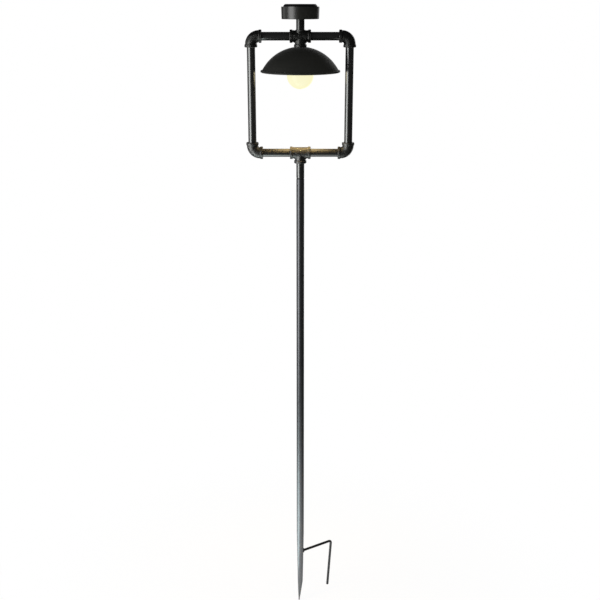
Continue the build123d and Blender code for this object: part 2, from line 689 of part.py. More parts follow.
outside = dome_line(SHADE_SPHERE, SHADE_TOP)
inside = dome_line(SHADE_SPHERE - SHADE_WALL, SHADE_TOP - SHADE_WALL)
hole_r = NIPPLE_R + FIT_GAP
with BuildPart() as lamp_shade:
    with BuildSketch(Plane.XZ):
        with BuildLine():
            Line((hole_r, SHADE_TOP), outside[0])
            ThreePointArc(*outside)
            Line(outside[2], inside[2])
            ThreePointArc(*reversed(inside))
            Line(inside[0], (hole_r, SHADE_TOP - SHADE_WALL))
            Line((hole_r, SHADE_TOP - SHADE_WALL), (hole_r, SHADE_TOP))
        make_face()
        with Locations((SHADE_RIM + BEAD_OUT, RIM_Z)):
            Circle(BEAD_R)
    revolve(axis=Axis.Z)
keep(lamp_shade, "lamp_shade")

# Lamp holder: an insulating cup with a brass screw shell and a centre contact under its insulator
with BuildPart() as lamp_holder:
    with BuildSketch(level(HOLDER_TOP - HOLDER_LENGTH)):
        Circle(HOLDER_R)
    extrude(amount=HOLDER_LENGTH)
    chamfer(lamp_holder.edges().group_by(Axis.Z)[-1], HOLDER_CHAMFER)
    with BuildSketch(level(HOLDER_TOP - HOLDER_LENGTH)):
        Circle(HOLDER_INNER_R)
    extrude(amount=HOLDER_LENGTH - HOLDER_ROOF, mode=Mode.SUBTRACT)
    with BuildSketch(level(ROOF_Z)):
        Circle(NIPPLE_R + FIT_GAP)
    extrude(amount=HOLDER_ROOF, mode=Mode.SUBTRACT)
keep(lamp_holder, "lamp_holder")

with BuildPart() as holder_insulator:
    with BuildSketch(level(INSULATOR_Z)):
        Circle(HOLDER_INNER_R - FIT_GAP)
    extrude(amount=INSULATOR_THICK)
keep(holder_insulator, "holder_insulator")

with BuildPart() as holder_screw_shell:
    with BuildSketch(level(INSULATOR_Z)):
        Circle(SHELL_R)
        Circle(SHELL_BORE, mode=Mode.SUBTRACT)
    extrude(amount=-SHELL_LENGTH)
keep(holder_screw_shell, "holder_screw_shell")

with BuildPart() as holder_contact:
    with BuildSketch(level(INSULATOR_Z)):
        Circle(CONTACT_R)
    extrude(amount=-CONTACT_H)
    fillet(holder_contact.edges().group_by(Axis.Z)[0], CONTACT_H / 3)
keep(holder_contact, "holder_contact")

# Lamp: centre contact, insulator, threaded base, glass globe, mount stem and light filaments
with BuildPart() as lamp_tip_contact:
    with BuildSketch(level(LAMP_TOP - TIP_CONTACT_H)):
        Circle(TIP_CONTACT_R)
    extrude(amount=TIP_CONTACT_H)
    fillet(lamp_tip_contact.edges().group_by(Axis.Z)[-1], TIP_CONTACT_H / 2)
keep(lamp_tip_contact, "lamp_tip_contact")

with BuildPart() as lamp_insulator:
    with BuildSketch(level(LAMP_INSULATOR_Z)):
        Circle(BASE_R)
    with BuildSketch(level(LAMP_INSULATOR_Z + LAMP_INSULATOR_H)):
        Circle(TIP_CONTACT_R)
    loft()
keep(lamp_insulator, "lamp_insulator")

thread_z = LAMP_BASE_Z + (LAMP_BASE_LENGTH - THREAD_TURNS * THREAD_PITCH) / 2
with BuildPart() as lamp_base:
    with BuildSketch(level(LAMP_BASE_Z)):
        Circle(BASE_R)
        Circle(BASE_R - LAMP_BASE_WALL, mode=Mode.SUBTRACT)
    extrude(amount=LAMP_BASE_LENGTH)
    with BuildLine():
        Helix(THREAD_PITCH, THREAD_TURNS * THREAD_PITCH, BASE_R, center=(0, 0, thread_z))
    with BuildSketch(Plane(origin=(BASE_R, 0, thread_z), x_dir=RIGHT, z_dir=(0, 1, 0))):
        with BuildLine():
            Polyline(
                (-LAMP_BASE_WALL / 2, -THREAD_FLANK),
                (THREAD_DEPTH, -THREAD_FLANK / 3),
                (THREAD_DEPTH, THREAD_FLANK / 3),
                (-LAMP_BASE_WALL / 2, THREAD_FLANK),
                close=True,
            )
        make_face()
    sweep(is_frenet=True)
keep(lamp_base, "lamp_base")

blend = Vector(BASE_R + NECK_FILLET, LAMP_BASE_Z)
globe_mid = Vector(0, GLOBE_Z)
neck_top = LAMP_BASE_Z + NECK_LENGTH
touch = globe_mid + (blend - globe_mid).normalized() * GLOBE_R
seat_edge = Vector(BASE_R, LAMP_BASE_Z)
blend_mid = blend + ((touch + seat_edge) * 0.5 - blend).normalized() * NECK_FILLET
inner_r = GLOBE_R - GLOBE_WALL
throat_r = NECK_R - GLOBE_WALL
throat_z = GLOBE_Z + math.sqrt(inner_r**2 - throat_r**2)
with BuildPart() as lamp_globe:
    with BuildSketch(Plane.XZ):
        with BuildLine():
            ThreePointArc((0, GLOBE_Z - GLOBE_R), (GLOBE_R, GLOBE_Z), touch)
            ThreePointArc(touch, blend_mid, seat_edge)
            Line(seat_edge, (NECK_R, LAMP_BASE_Z))
            Line((NECK_R, LAMP_BASE_Z), (NECK_R, neck_top))
            Line((NECK_R, neck_top), (throat_r, neck_top))
            Line((throat_r, neck_top), (throat_r, throat_z))
            ThreePointArc((throat_r, throat_z), (inner_r, GLOBE_Z), (0, GLOBE_Z - inner_r))
            Line((0, GLOBE_Z - inner_r), (0, GLOBE_Z - GLOBE_R))
        make_face()
    revolve(axis=Axis.Z)
keep(lamp_globe, "lamp_globe")

filament_top = GLOBE_Z + FILAMENT_LENGTH / 2
with BuildPart() as lamp_stem:
    with BuildSketch(level(neck_top)):
        Circle(NECK_R)
    extrude(amount=STEM_DISC)
    with BuildSketch(level(filament_top)):
        Circle(STEM_R)
    extrude(amount=neck_top - filament_top)
    with BuildSketch(level(filament_top)):
        Circle(FILAMENT_RING + 2 * FILAMENT_R)
    extrude(amount=STEM_DISC)
keep(lamp_stem, "lamp_stem")

with BuildPart() as lamp_filaments:
    with BuildSketch(level(filament_top)):
        with PolarLocations(FILAMENT_RING, FILAMENT_COUNT):
            Circle(FILAMENT_R)
    extrude(amount=-FILAMENT_LENGTH)
keep(lamp_filaments, "lamp_filaments")
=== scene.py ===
# %% [markdown]
# # A solar stake lamp in pipe and cast iron
# A steel stake with a welded foot step carries a square frame of threaded pipe and cast fittings. A spun
# shade with a screw-in lamp hangs in the frame, and a round solar cap sits on top. The solids come from
# the CAD model in metres, already in their places, so this lesson is about light, finish and fine detail.

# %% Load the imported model
import math

import bmesh
import bpy
from mathutils import Matrix, Vector


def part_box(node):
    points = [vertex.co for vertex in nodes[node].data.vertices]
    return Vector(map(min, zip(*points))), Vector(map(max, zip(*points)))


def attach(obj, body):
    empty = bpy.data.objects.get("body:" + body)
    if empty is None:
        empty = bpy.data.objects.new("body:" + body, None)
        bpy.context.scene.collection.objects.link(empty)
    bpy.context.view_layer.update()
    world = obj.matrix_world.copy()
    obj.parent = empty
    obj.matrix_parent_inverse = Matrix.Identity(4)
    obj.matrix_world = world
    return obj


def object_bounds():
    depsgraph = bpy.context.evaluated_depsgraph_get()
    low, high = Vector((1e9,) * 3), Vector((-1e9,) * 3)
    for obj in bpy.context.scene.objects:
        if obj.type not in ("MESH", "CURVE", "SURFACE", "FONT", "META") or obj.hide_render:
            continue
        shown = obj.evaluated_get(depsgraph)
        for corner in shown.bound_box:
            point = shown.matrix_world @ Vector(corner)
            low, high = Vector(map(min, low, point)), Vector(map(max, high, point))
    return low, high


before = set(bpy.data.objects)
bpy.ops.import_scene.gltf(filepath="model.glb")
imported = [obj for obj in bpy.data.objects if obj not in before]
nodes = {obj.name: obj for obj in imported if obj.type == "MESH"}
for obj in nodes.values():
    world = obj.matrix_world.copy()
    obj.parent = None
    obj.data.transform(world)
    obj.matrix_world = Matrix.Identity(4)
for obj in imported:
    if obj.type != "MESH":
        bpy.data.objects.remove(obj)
cad_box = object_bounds()
print("loaded", len(nodes), "nodes in a box of", [round(side, 3) for side in cad_box[1] - cad_box[0]], "m")

# %% [markdown]
# ## Camera
# The lamp is seen from a little above its cap, looking down, so the stake's tip lies near the picture's
# lower edge. A camera could be aimed with a constraint; three distances and a pitch say the same thing
# and are easier to compare with a tape measure.

# %% Set the camera
LENS_MM = 54.0
SENSOR_MM = 36.0
CAMERA_LEFT = 0.0007
CAMERA_AWAY = 1.923
CAMERA_ABOVE_TIP = 1.439
CAMERA_PITCH = 18.4  # degrees down

scene = bpy.context.scene
scene.view_settings.view_transform = "Standard"
camera = bpy.data.objects.new("camera", bpy.data.cameras.new("camera"))
camera.data.lens = LENS_MM
camera.data.sensor_width = SENSOR_MM
camera.location = (-CAMERA_LEFT, -CAMERA_AWAY, cad_box[0].z + CAMERA_ABOVE_TIP)
camera.rotation_euler = (math.radians(90 - CAMERA_PITCH), 0, 0)
scene.collection.objects.link(camera)
scene.camera = camera
print("camera at", [round(value, 3) for value in camera.location])

# %% [markdown]
# ## A bench for shader nodes
# Every finish below is a small network of nodes. Adding and linking them one by one hides the idea behind
# the bookkeeping, so two small classes do that work. A Wire is the value leaving a socket: ordinary
# arithmetic on it adds Math nodes, as in 1 - mask. A Bench holds one node tree and has the single
# method that adds any other node, with its settings first and its sockets second.

# %% Wires and benches
class Wire:
    """The value that leaves one socket. Arithmetic on it adds Math nodes to the same bench."""

    def __init__(self, bench, socket):
        self.bench = bench
        self.socket = socket

    def __add__(self, other):
        return self.bench.math("ADD", self, other)

    def __radd__(self, other):
        return self.bench.math("ADD", other, self)

    def __sub__(self, other):
        return self.bench.math("SUBTRACT", self, other)

    def __rsub__(self, other):
        return self.bench.math("SUBTRACT", other, self)

    def __mul__(self, other):
        return self.bench.math("MULTIPLY", self, other)

    def __rmul__(self, other):
        return self.bench.math("MULTIPLY", other, self)


class Bench:
    """The node tree of one material or world while it is being wired."""

    def __init__(self, owner):
        owner.use_nodes = True
        self.owner = owner
        self.tree = owner.node_tree
        self.tree.nodes.clear()

    def node(self, kind, settings=None, sockets=None, output=0):
        """Adds a node, sets its settings, then gives its sockets values or wires."""
        made = self.tree.nodes.new("ShaderNode" + kind)
        for name, value in (settings or {}).items():
            setattr(made, name, value)
        for key, value in (sockets or {}).items():
            if isinstance(value, Wire):
                self.tree.links.new(value.socket, made.inputs[key])
            else:
                made.inputs[key].default_value = value
        return Wire(self, made.outputs[output]) if made.outputs else None

    def math(self, operation, *values):
        """Adds a Math node, whose sockets are numbered."""
        return self.node("Math", {"operation": operation}, dict(enumerate(values)))

    def seen_directly(self):
        """1 for rays from the camera, in reflections and through glass, and 0 for soft light."""
        rays = [self.node("LightPath", output=name)
                for name in ("Is Camera Ray", "Is Glossy Ray", "Is Transmission Ray")]
        return self.math("MAXIMUM", self.math("MAXIMUM", rays[0], rays[1]), rays[2])

    def soft_step(self, value, span, first, last):
        """A number that goes softly from first to last while the value crosses the span."""
        return self.node("MapRange", {"interpolation_type": "SMOOTHSTEP"}, {
            "Value": value, "From Min": span[0], "From Max": span[1], "To Min": first, "To Max": last})

    def fade(self, span, inner, outer):
        """A number that goes softly from inner to outer with the distance from the object's middle."""
        place = self.node("TexCoord", output="Object")
        away = self.node("VectorMath", {"operation": "LENGTH"}, {0: place}, "Value")
        return self.soft_step(away, span, inner, outer)


print("bench ready")

# %% [markdown]
# ## Studio
# A product picture like this one has a white floor that runs into a white background, a tall soft box at
# the left and dark cloth all round. The cloth matters: polished pipe is a mirror, and only dark
# surroundings leave it dark with one clean stripe of light. Each piece of the studio can act differently
# on the camera, on mirrors and on soft light, because a shader may ask what kind of ray has reached it.

# %% White floor and background
FLOOR_RADIUS = 12.0
FLOOR_SIDES = 96
SHADOW_SHARE = 0.07  # share of the floor that is shaded like paper, near the pole
SHADOW_FADE = (0.15, 0.80)  # metres from the pole, between which the shading goes over to plain white
WHITE = (1.0, 1.0, 1.0, 1.0)

world = bpy.data.worlds.new("studio")
scene.world = world
sky = Bench(world)
background = sky.node("Background", sockets={"Color": WHITE, "Strength": sky.seen_directly()})
sky.node("OutputWorld", sockets={"Surface": background})


def disc_mesh(name, radius):
    """A flat round sheet."""
    sheet = bmesh.new()
    bmesh.ops.create_circle(sheet, cap_ends=True, radius=radius, segments=FLOOR_SIDES)
    mesh = bpy.data.meshes.new(name)
    sheet.to_mesh(mesh)
    sheet.free()
    return mesh


def add_stage(name, mesh, place, material):
    """Adds a piece of the studio, which is no part of the lamp."""
    made = bpy.data.objects.new(name, mesh)
    made.location = place
    made.data.materials.append(material)
    scene.collection.objects.link(made)
    return made


floor_z = cad_box[0].z
paper = Bench(bpy.data.materials.new("floor_paper"))
shadow = paper.fade(SHADOW_FADE, SHADOW_SHARE, 0.0)
shading = paper.node("BsdfDiffuse", sockets={"Color": WHITE})
glow = paper.node("Emission", sockets={"Color": WHITE, "Strength": 1.0})
mixed = paper.node("MixShader", sockets={"Fac": (1 - shadow) * paper.seen_directly(), 1: shading, 2: glow})
paper.node("OutputMaterial", sockets={"Surface": mixed})
add_stage("floor", disc_mesh("floor", FLOOR_RADIUS), (0, 0, floor_z), paper.owner)
print("floor at", round(floor_z, 3))

# %% [markdown]
# ### Dark cloth
# A round tent of cloth stands outside the picture, and a second cloth lies on the floor with a soft hole
# round the stake. Mirrors see both, so the upper pipes stay dark while the lower end of the stake
# picks up the white floor. For soft light the tent is a pale box that fills every shadow a little.

# %% Tent and floor cloth
TENT_RADIUS = 3.2
TENT_HEIGHT = 3.0
TENT_SIDES = 64
TENT_MIRRORED = 0.022  # brightness in reflections
TENT_FILL = 0.32  # brightness as soft light
CLOTH_PLACE = (-0.15, -0.27)
CLOTH_HOLE = (0.10, 0.95)  # metres from its middle, between which the cloth closes
CLOTH_LIFT = 0.002


def tent_mesh(name, radius, height):
    """A round wall with a flat roof and no floor."""
    wall = bmesh.new()
    bmesh.ops.create_cone(wall, cap_ends=True, segments=TENT_SIDES, radius1=radius, radius2=radius,
                          depth=height)
    bmesh.ops.translate(wall, verts=wall.verts, vec=(0, 0, height / 2))
    lowest = min(wall.faces, key=lambda face: face.calc_center_median().z)
    bmesh.ops.delete(wall, geom=[lowest], context="FACES_ONLY")
    mesh = bpy.data.meshes.new(name)
    wall.to_mesh(mesh)
    wall.free()
    return mesh


cloth = Bench(bpy.data.materials.new("dark_cloth"))
pale = cloth.node("Emission", sockets={"Color": WHITE, "Strength": TENT_FILL})
dark = cloth.node("Emission", sockets={"Color": WHITE, "Strength": TENT_MIRRORED})
mirrored = cloth.node("LightPath", output="Is Glossy Ray")
refracted = cloth.node("LightPath", output="Is Transmission Ray")
mixed = cloth.node("MixShader", sockets={"Fac": mirrored * (1 - refracted), 1: pale, 2: dark})
cloth.node("OutputMaterial", sockets={"Surface": mixed})
tent = add_stage("tent", tent_mesh("tent", TENT_RADIUS, TENT_HEIGHT), (0, 0, floor_z), cloth.owner)
tent.visible_camera = False
tent.visible_shadow = False

ring = Bench(bpy.data.materials.new("floor_cloth"))
clear = ring.node("BsdfTransparent", sockets={"Color": WHITE})
dark = ring.node("Emission", sockets={"Color": WHITE, "Strength": TENT_MIRRORED})
mixed = ring.node("MixShader", sockets={"Fac": ring.fade(CLOTH_HOLE, 0.0, 1.0), 1: clear, 2: dark})
ring.node("OutputMaterial", sockets={"Surface": mixed})
rug_place = (*CLOTH_PLACE, floor_z + CLOTH_LIFT)
rug = add_stage("floor_cloth", disc_mesh("floor_cloth", TENT_RADIUS), rug_place, ring.owner)
rug.visible_camera = False
rug.visible_shadow = False
rug.visible_diffuse = False
print("cloth", TENT_RADIUS, "m away and on the floor")

# %% [markdown]
# ### Rays for the lamps
# Blender aims a share of its rays at everything that glows. Floor and cloth are so large that rays find
# them anyway, so they come off that list. The rays saved go to the lamps, and the small warm ones, which
# are hard to hit, get a smooth light instead of a grainy one.

# %% Take the large sheets off the list
for sheet in (paper, cloth, ring):
    sheet.owner.cycles.emission_sampling = "NONE"
    print(sheet.owner.name, "is found by chance")

# %% [markdown]
# ### Soft lights
# The tall soft box at the left draws the pale stripe on every pipe. Three strips behind the lamp give it
# rims of light, and give the other sides their stripes. A fill light at the right has no reflection of
# its own, and a cool card on the floor brightens what faces down. A sun or a spot would be simpler, but
# polished pipe mirrors the shape of a lamp, and only a broad lamp makes a broad stripe.

# %% Six soft boxes
LIGHT_AIM = (0.0, 0.0, 0.80)
KEY_SIZE = (0.72, 1.45)
KEY_PLACE = (-0.88, -0.59, 0.76)
KEY_WATTS = 11.2
STRIP_SIZE = (0.5, 1.9)
RIM_PLACE = (-1.15, 0.55, 0.80)
RIM_WATTS = 2.2
BACK_PLACE = (0.30, 1.55, 0.90)
SIDE_PLACE = (0.80, 1.30, 0.90)
BACK_WATTS = 3.0
FILL_SIZE = (0.5, 0.5)
FILL_PLACE = (0.55, -0.70, 1.45)
FILL_WATTS = 2.0
FILL_AIM = (0.0, 0.0, 1.20)
CARD_SIZE = (0.66, 0.58)
CARD_SPOT = (-0.46, -0.23)
CARD_LIFT = 0.004
CARD_WATTS = 3.7
CARD_COLOUR = (0.84, 1.0, 0.99)
PLAIN_LIGHT = (1.0, 1.0, 1.0)


def add_lamp(name, place, way, watts, colour, mirrored):
    """A flat lamp that shines one way, out of the picture, with or without its own reflection."""
    lamp = bpy.data.objects.new(name, bpy.data.lights.new(name, "AREA"))
    lamp.data.energy = watts
    lamp.data.color = colour
    lamp.location = place
    lamp.rotation_euler = Vector(way).to_track_quat("-Z", "Y").to_euler()
    lamp.visible_camera = False
    lamp.visible_glossy = mirrored
    scene.collection.objects.link(lamp)
    return lamp


def soft_box(name, place, aim, size, watts, colour=PLAIN_LIGHT, mirrored=True):
    """A rectangular lamp that faces its aim."""
    box = add_lamp(name, place, Vector(aim) - Vector(place), watts, colour, mirrored)
    box.data.shape = "RECTANGLE"
    box.data.size, box.data.size_y = size
    print(name, "at", [round(value, 3) for value in box.location])


card_place = (*CARD_SPOT, floor_z + CARD_LIFT)
card_aim = (*CARD_SPOT, LIGHT_AIM[2])  # straight up
soft_box("key_light", KEY_PLACE, LIGHT_AIM, KEY_SIZE, KEY_WATTS)
soft_box("rim_light", RIM_PLACE, LIGHT_AIM, STRIP_SIZE, RIM_WATTS)
soft_box("back_light", BACK_PLACE, LIGHT_AIM, STRIP_SIZE, BACK_WATTS)
soft_box("side_light", SIDE_PLACE, LIGHT_AIM, STRIP_SIZE, BACK_WATTS)
soft_box("fill_light", FILL_PLACE, FILL_AIM, FILL_SIZE, FILL_WATTS, mirrored=False)
soft_box("floor_card", card_place, card_aim, CARD_SIZE, CARD_WATTS, CARD_COLOUR)

# %% [markdown]
# ## Finishes
# Each finish is one function. All of them read the object's own coordinates, which are metres in the
# lamp's frame, so a scale of 900 means 900 bumps in a metre, the same on every piece.

# %% A bench with a principled shader
EDGE_RAYS = 6
FACE_OPEN = 0.92  # share of these rays that meets nothing inside a plain face
EDGE_OPEN = 0.55  # and inside a worn edge


class Finish(Bench):
    """A material with one principled shader, measured in metres on the piece."""

    def __init__(self, name):
        super().__init__(bpy.data.materials.new(name))
        self.place = self.node("TexCoord", output="Object")

    def noise(self, scale, detail=2.0, stretch=(1.0, 1.0, 1.0)):
        """Cloudy values from 0 to 1, with scale clouds in a metre."""
        spot = self.node("VectorMath", {"operation": "MULTIPLY"}, {0: self.place, 1: stretch})
        return self.node("TexNoise", sockets={"Vector": spot, "Scale": scale, "Detail": detail}, output="Fac")

    def between(self, share, low, high):
        """A number between two others."""
        return low + (high - low) * share

    def blend(self, share, first, second):
        """A colour between two others. Sockets 6 and 7 of a Mix node are its colours, and output 2 too."""
        return self.node("Mix", {"data_type": "RGBA"}, {0: share, 6: first, 7: second}, 2)

    def relief(self, height, depth):
        """A normal that follows a height from 0 to 1, which stands depth metres proud."""
        return self.node("Bump", sockets={"Height": height, "Distance": depth, "Strength": 1.0})

    def worn(self, reach):
        """1 on outer edges and 0 on plain faces. Rays inside the piece meet another face near an edge."""
        solid = self.node("AmbientOcclusion", {"inside": True, "only_local": True, "samples": EDGE_RAYS},
                          {"Distance": reach}, "AO")
        return self.node("MapRange", sockets={
            "Value": solid, "From Min": FACE_OPEN, "From Max": EDGE_OPEN, "To Min": 0.0, "To Max": 1.0})

    def surface(self, sockets):
        """Ends the material with a principled shader and returns it."""
        shader = self.node("BsdfPrincipled", sockets=sockets)
        self.node("OutputMaterial", sockets={"Surface": shader})
        return self.owner


def tone(red, green=None, blue=None):
    """A colour in linear light, grey where only one number is given."""
    return (red, red if green is None else green, red if blue is None else blue, 1.0)


def dress(material, *names):
    """Gives a finish to CAD pieces by their material slots."""
    for name in names:
        nodes[name].material_slots[0].material = material
    print(material.name, "on", ", ".join(names))


print("finish bench ready")

# %% [markdown]
# ### Gunmetal pipe
# The pipes have a thin dark metallic lacquer. It mirrors the soft box as one pale stripe and stays dark
# elsewhere. A metallic shader with a dark colour does that; a black plastic would only show a weak white
# gloss. Fine flakes vary the colour, slow clouds vary the gloss and a faint orange peel breaks the stripe.

# %% Gunmetal
FLAKES = 5200  # in a metre
FLAKE_SHARE = 0.6  # of the change in colour; the clouds make the rest
LACQUER_CLOUDS = 34  # in a metre
LACQUER_DULLING = 0.1  # roughness that the clouds add
PEEL = 650  # dimples in a metre
PEEL_DEPTH = 0.0000016


def lacquer(metal, dark, light):
    """What all the lacquered pipes share: a flaked colour, the clouds and the orange peel."""
    flakes = metal.noise(FLAKES, detail=1.0)
    clouds = metal.noise(LACQUER_CLOUDS, detail=3.0)
    colour = metal.blend(FLAKE_SHARE * flakes + (1 - FLAKE_SHARE) * clouds, dark, light)
    return colour, clouds, metal.relief(metal.noise(PEEL), PEEL_DEPTH)


def gunmetal(name, dark, light, gloss, metallic):
    """A dark metallic lacquer."""
    metal = Finish(name)
    colour, clouds, peel = lacquer(metal, dark, light)
    return metal.surface({
        "Base Color": colour,
        "Metallic": metallic,
        "Roughness": gloss + LACQUER_DULLING * clouds,
        "Normal": peel,
    })


dress(gunmetal("pipe_paint", tone(0.135, 0.139, 0.136), tone(0.21, 0.215, 0.21), gloss=0.21, metallic=0.95),
      "pole_stub", "upright_left", "upright_right", "upper_bar_left", "upper_bar_right",
      "lower_bar_left", "lower_bar_right")
# Painted shade: the stem wears a darker copy of the pipe lacquer.
dress(gunmetal("stem_paint", tone(0.07, 0.072, 0.07), tone(0.105, 0.108, 0.105), gloss=0.23, metallic=0.95),
      "cap_stem")
dress(gunmetal("step_paint", tone(0.05, 0.051, 0.052), tone(0.09, 0.092, 0.093), gloss=0.34, metallic=0.9),
      "foot_step")

# %% [markdown]
# ### Stake
# The stake has the same lacquer, and its lower half is made pale and less metallic: a painted reflection
# of the white floor, which the low end of the stake sees. The height above the ground is one of the object's
# own coordinates, so a soft step on it can lead from one finish to the other, and fine upright streaks
# break the step up.

# %% Gunmetal with a painted floor reflection
FLOOR_REFLECTION_SPAN = (0.60, -0.05)  # metres above the ground, between which the painted floor reflection comes in
STREAKS = 1400  # in a metre round the pole
STREAK_STRETCH = (1.0, 1.0, 0.04)  # long along the pole


def floor_lit_gunmetal(name, dark, light, floor_reflection_tone):
    """The pipes' lacquer, made paler towards the ground as a painted reflection of the floor."""
    metal = Finish(name)
    colour, clouds, peel = lacquer(metal, dark, light)
    streaks = metal.noise(STREAKS, stretch=STREAK_STRETCH)
    height = metal.node("SeparateXYZ", sockets={"Vector": metal.place}, output="Z")
    floor_reflection_share = metal.soft_step(height, FLOOR_REFLECTION_SPAN, 0.0, 1.0)
    return metal.surface({
        "Base Color": metal.blend(floor_reflection_share * streaks, colour, floor_reflection_tone),
        "Metallic": metal.between(floor_reflection_share, 0.9, 0.66),
        "Roughness": 0.28 + LACQUER_DULLING * clouds,
        "Normal": peel,
    })


# The pale tone is the painted reflection of the white floor on the low stake.
dress(floor_lit_gunmetal("pole_paint", tone(0.092, 0.096, 0.102), tone(0.137, 0.141, 0.148),
                      floor_reflection_tone=tone(0.22, 0.23, 0.24)),
      "ground_pole")

# %% [markdown]
# ### Cast fittings
# Elbows and tees are cast in sand, so their skin is pebbled under the same lacquer. Two sizes of noise
# make the skin: lumps of a few millimetres and grains of about one. On the edges of the end bands the
# lacquer is thin and the bare iron shows through in places. The upper fittings get a darker copy of the
# finish, which is painted shade.

# %% Cast iron skin
LUMPS = 240  # in a metre
GRAINS = 900  # in a metre
LUMP_SHARE = 0.6  # of the skin's height; the grains make the rest
SKIN_DEPTH = 0.0014
EDGE_REACH = 0.0016
BARE_IRON = tone(0.42, 0.41, 0.40)


def cast_iron(name, dark, light):
    """Lacquered sand casting with thin edges."""
    iron = Finish(name)
    lumps = iron.noise(LUMPS)
    grains = iron.noise(GRAINS, detail=3.0)
    bare = iron.worn(EDGE_REACH) * grains
    return iron.surface({
        "Base Color": iron.blend(bare, iron.blend(grains, dark, light), BARE_IRON),
        "Metallic": 0.95,
        "Roughness": iron.between(lumps, 0.23, 0.38),
        "Normal": iron.relief(LUMP_SHARE * lumps + (1 - LUMP_SHARE) * grains, SKIN_DEPTH),
    })


dress(cast_iron("cast_fitting", tone(0.045, 0.046, 0.044), tone(0.215, 0.217, 0.21)),
      "lower_elbow_left", "lower_elbow_right", "lower_tee")
# Painted shade: the upper fittings wear a darker copy of the cast finish.
dress(cast_iron("dark_fitting", tone(0.027, 0.028, 0.026), tone(0.13, 0.132, 0.127)),
      "upper_elbow_left", "upper_elbow_right", "upper_tee", "branch_bush")

# %% [markdown]
# ### Shade
# The spun dome has a matt black powder coat, which is a plastic and no metal: almost no mirror, a fine
# grain and a soft sheen where it curves away. Faint rings are left from spinning; noise that is squeezed
# along the axis and stretched across it draws them.

# %% Powder coat
COAT_GRAINS = 1500  # in a metre
COAT_CLOUDS = 26  # in a metre
RINGS = 420  # in a metre of height
RING_STRETCH = (0.03, 0.03, 1.0)
GRAIN_TINT = 0.3  # shares of the change in colour; the rings make the rest
CLOUD_TINT = 0.3
RING_SHARE = 0.5  # of the coat's height; the grains make the rest
COAT_DULLING = 0.12  # roughness that the clouds add, and the rings too
COAT_DEPTH = 0.00008


def powder_coat(name, dark, light):
    """A matt black coat on spun sheet."""
    coat = Finish(name)
    grain = coat.noise(COAT_GRAINS)
    clouds = coat.noise(COAT_CLOUDS, detail=3.0)
    rings = coat.noise(RINGS, stretch=RING_STRETCH)
    tint = GRAIN_TINT * grain + CLOUD_TINT * clouds + (1 - GRAIN_TINT - CLOUD_TINT) * rings
    return coat.surface({
        "Base Color": coat.blend(tint, dark, light),
        "Roughness": 0.42 + COAT_DULLING * (clouds + rings),
        "Specular IOR Level": 0.25,
        "Sheen Weight": 0.22,
        "Sheen Roughness": 0.25,
        "Normal": coat.relief((1 - RING_SHARE) * grain + RING_SHARE * rings, COAT_DEPTH),
    })


dress(powder_coat("shade_coat", tone(0.012, 0.0122, 0.0106), tone(0.023, 0.0233, 0.0204)), "lamp_shade")

# %% [markdown]
# ### Plastics
# Cap, lid, collar, knob and seal are mouldings. Circuit boards, the sleeves of the leads and the black
# glass in the lamp's base can follow the same recipe: they differ in colour, gloss, shine and in how fine
# their texture is. A function for each would repeat itself, so a table keeps those numbers side by side.

# %% Mouldings
MOULD_CLOUDS = 45  # in a metre
GRAIN_SHARE = 0.4  # of the change in colour; the clouds make the rest
MOULD_DULLING = 0.1  # roughness that the clouds add
MICRON = 0.000001

# name, dark tone, light tone, roughness, grains in a metre, their depth in microns, shine, pieces
MOULDINGS = (
    ("cap_plastic", tone(0.009, 0.0092, 0.0076), tone(0.016, 0.0163, 0.0135), 0.28, 1300, 40, 0.9,
     ["cap_housing"]),
    ("lid_plastic", tone(0.004), tone(0.008), 0.36, 1300, 30, 0.3, ["cap_lid"]),
    ("spigot_plastic", tone(0.008), tone(0.014), 0.45, 1500, 30, 0.5, ["pole_spigot"]),
    ("knob_plastic", tone(0.010), tone(0.016), 0.35, 1800, 20, 0.5, ["switch_knob"]),
    ("seal_rubber", tone(0.012), tone(0.020), 0.62, 1600, 40, 0.5, ["lid_seal"]),
    ("holder_plastic", tone(0.012), tone(0.018), 0.35, 1500, 30, 0.5, ["lamp_holder"]),
    ("tray_plastic", tone(0.015), tone(0.022), 0.42, 1500, 30, 0.5, ["battery_tray"]),
    ("part_black", tone(0.012), tone(0.02), 0.45, 2500, 20, 0.5,
     ["control_chip", "boost_coil", "switch_case"]),
    ("cell_wrap", tone(0.02, 0.12, 0.05), tone(0.03, 0.16, 0.07), 0.25, 1500, 10, 0.5, ["battery_cell"]),
    ("lead_red", tone(0.42, 0.02, 0.015), tone(0.5, 0.03, 0.02), 0.4, 1800, 20, 0.5, ["lamp_lead_red"]),
    ("lead_black", tone(0.012), tone(0.02), 0.4, 1800, 20, 0.5, ["lamp_lead_black"]),
    ("board_laminate", tone(0.01, 0.09, 0.03), tone(0.02, 0.13, 0.045), 0.3, 900, 10, 0.5, ["circuit_board"]),
    ("panel_board", tone(0.02, 0.02, 0.025), tone(0.03, 0.03, 0.036), 0.4, 1200, 20, 0.5, ["solar_panel"]),
    ("holder_board", tone(0.08, 0.045, 0.02), tone(0.12, 0.07, 0.03), 0.55, 1200, 30, 0.5,
     ["holder_insulator"]),
    ("base_glass", tone(0.012, 0.012, 0.016), tone(0.02, 0.02, 0.026), 0.15, 1200, 10, 0.5,
     ["lamp_insulator"]),
)


